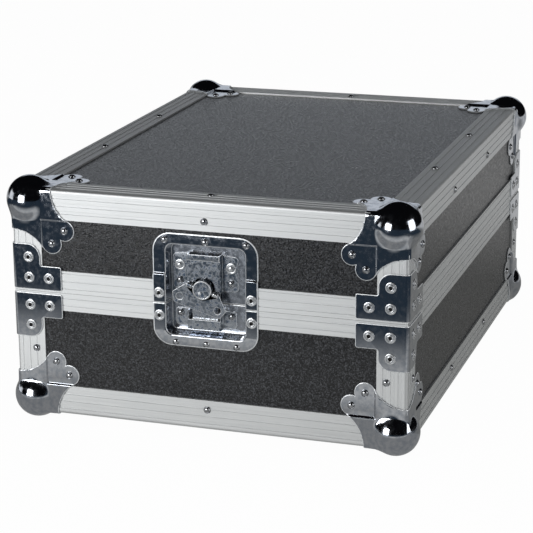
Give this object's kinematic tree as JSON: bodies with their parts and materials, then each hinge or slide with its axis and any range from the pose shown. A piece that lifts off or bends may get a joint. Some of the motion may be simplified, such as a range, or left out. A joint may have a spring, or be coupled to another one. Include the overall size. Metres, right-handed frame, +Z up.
{
  "type": "flight case",
  "caption": "Black laminate flight case for a mixer with aluminium edges, steel ball corners, lift-off lid and recessed butterfly latches.",
  "frame": {"origin": "on the floor under the middle of the case", "axes": "+Z up, the seen latch faces -Y, +X to the right of someone facing it"},
  "size_m": [0.4166, 0.5556, 0.2483],
  "materials": {
    "black_laminate_plywood": "textured phenolic laminate, charcoal, low sheen",
    "anodised_aluminium": "satin anodised, fine lengthwise grain",
    "chromed_steel": "bright plated pressed steel",
    "zinc_plated_steel": "bright zinc plate",
    "nickel_plated_rivets": "bright nickel plate",
    "charcoal_foam": "closed-cell foam, matt"
  },
  "bodies": {
    "base": {"base_bottom_panel": "black_laminate_plywood", "base_front_panel": "black_laminate_plywood", "base_back_panel": "black_laminate_plywood", "base_left_panel": "black_laminate_plywood", "base_right_panel": "black_laminate_plywood", "base_front_edge": "anodised_aluminium", "base_back_edge": "anodised_aluminium", "base_left_edge": "anodised_aluminium", "base_right_edge": "anodised_aluminium", "base_corner_posts": "anodised_aluminium", "base_rim": "anodised_aluminium", "base_ball_front_left": "chromed_steel", "base_ball_front_right": "chromed_steel", "base_ball_back_left": "chromed_steel", "base_ball_back_right": "chromed_steel", "base_braces": "chromed_steel", "base_dome_rivets": "nickel_plated_rivets", "base_ring_rivets": "nickel_plated_rivets", "front_lower_dish": "chromed_steel", "back_lower_dish": "chromed_steel", "front_strike": "zinc_plated_steel", "back_strike": "zinc_plated_steel", "base_floor_pad": "charcoal_foam", "base_wall_pads": "charcoal_foam"},
    "lid": {"lid_top_panel": "black_laminate_plywood", "lid_front_panel": "black_laminate_plywood", "lid_back_panel": "black_laminate_plywood", "lid_left_panel": "black_laminate_plywood", "lid_right_panel": "black_laminate_plywood", "lid_front_edge": "anodised_aluminium", "lid_back_edge": "anodised_aluminium", "lid_left_edge": "anodised_aluminium", "lid_right_edge": "anodised_aluminium", "lid_corner_posts": "anodised_aluminium", "lid_rim": "anodised_aluminium", "lid_ball_front_left": "chromed_steel", "lid_ball_front_right": "chromed_steel", "lid_ball_back_left": "chromed_steel", "lid_ball_back_right": "chromed_steel", "lid_braces": "chromed_steel", "lid_dome_rivets": "nickel_plated_rivets", "lid_ring_rivets": "nickel_plated_rivets", "front_upper_dish": "chromed_steel", "back_upper_dish": "chromed_steel", "front_guide": "zinc_plated_steel", "back_guide": "zinc_plated_steel", "lid_top_pad": "charcoal_foam", "lid_wall_pads": "charcoal_foam"},
    "front_spindle": {"front_spindle": "zinc_plated_steel"},
    "front_wing": {"front_wing": "zinc_plated_steel"},
    "front_hook": {"front_hook": "zinc_plated_steel"},
    "back_spindle": {"back_spindle": "zinc_plated_steel"},
    "back_wing": {"back_wing": "zinc_plated_steel"},
    "back_hook": {"back_hook": "zinc_plated_steel"}
  },
  "joints": [
    {"name": "lid_lift", "type": "slide", "parent": "base", "child": "lid", "axis": [0, 0, 1], "range_m": [0, 0.26]},
    {"name": "front_wing_turn", "type": "hinge", "parent": "lid", "child": "front_spindle", "pos_m": [-0.0035, -0.26625, 0.1505], "axis": [0, -1, 0], "range_deg": [0, 180]},
    {"name": "front_wing_fold", "type": "hinge", "parent": "front_spindle", "child": "front_wing", "pos_m": [-0.0035, -0.26625, 0.1505], "axis": [-0.9563, 0, 0.2924], "range_deg": [0, 90]},
    {"name": "front_hook_draw", "type": "slide", "parent": "lid", "child": "front_hook", "axis": [0, 0, -1], "range_m": [0, 0.006]},
    {"name": "back_wing_turn", "type": "hinge", "parent": "lid", "child": "back_spindle", "pos_m": [0.0035, 0.26625, 0.1505], "axis": [0, 1, 0], "range_deg": [0, 180]},
    {"name": "back_wing_fold", "type": "hinge", "parent": "back_spindle", "child": "back_wing", "pos_m": [0.0035, 0.26625, 0.1505], "axis": [0.9563, 0, 0.2924], "range_deg": [0, 90]},
    {"name": "back_hook_draw", "type": "slide", "parent": "lid", "child": "back_hook", "axis": [0, 0, -1], "range_m": [0, 0.006]}
  ],
  "couplings": [
    {"joint": "front_hook_draw", "follows": "front_wing_turn", "m_per_rad": 0.0019099},
    {"joint": "back_hook_draw", "follows": "back_wing_turn", "m_per_rad": 0.0019099}
  ]
}
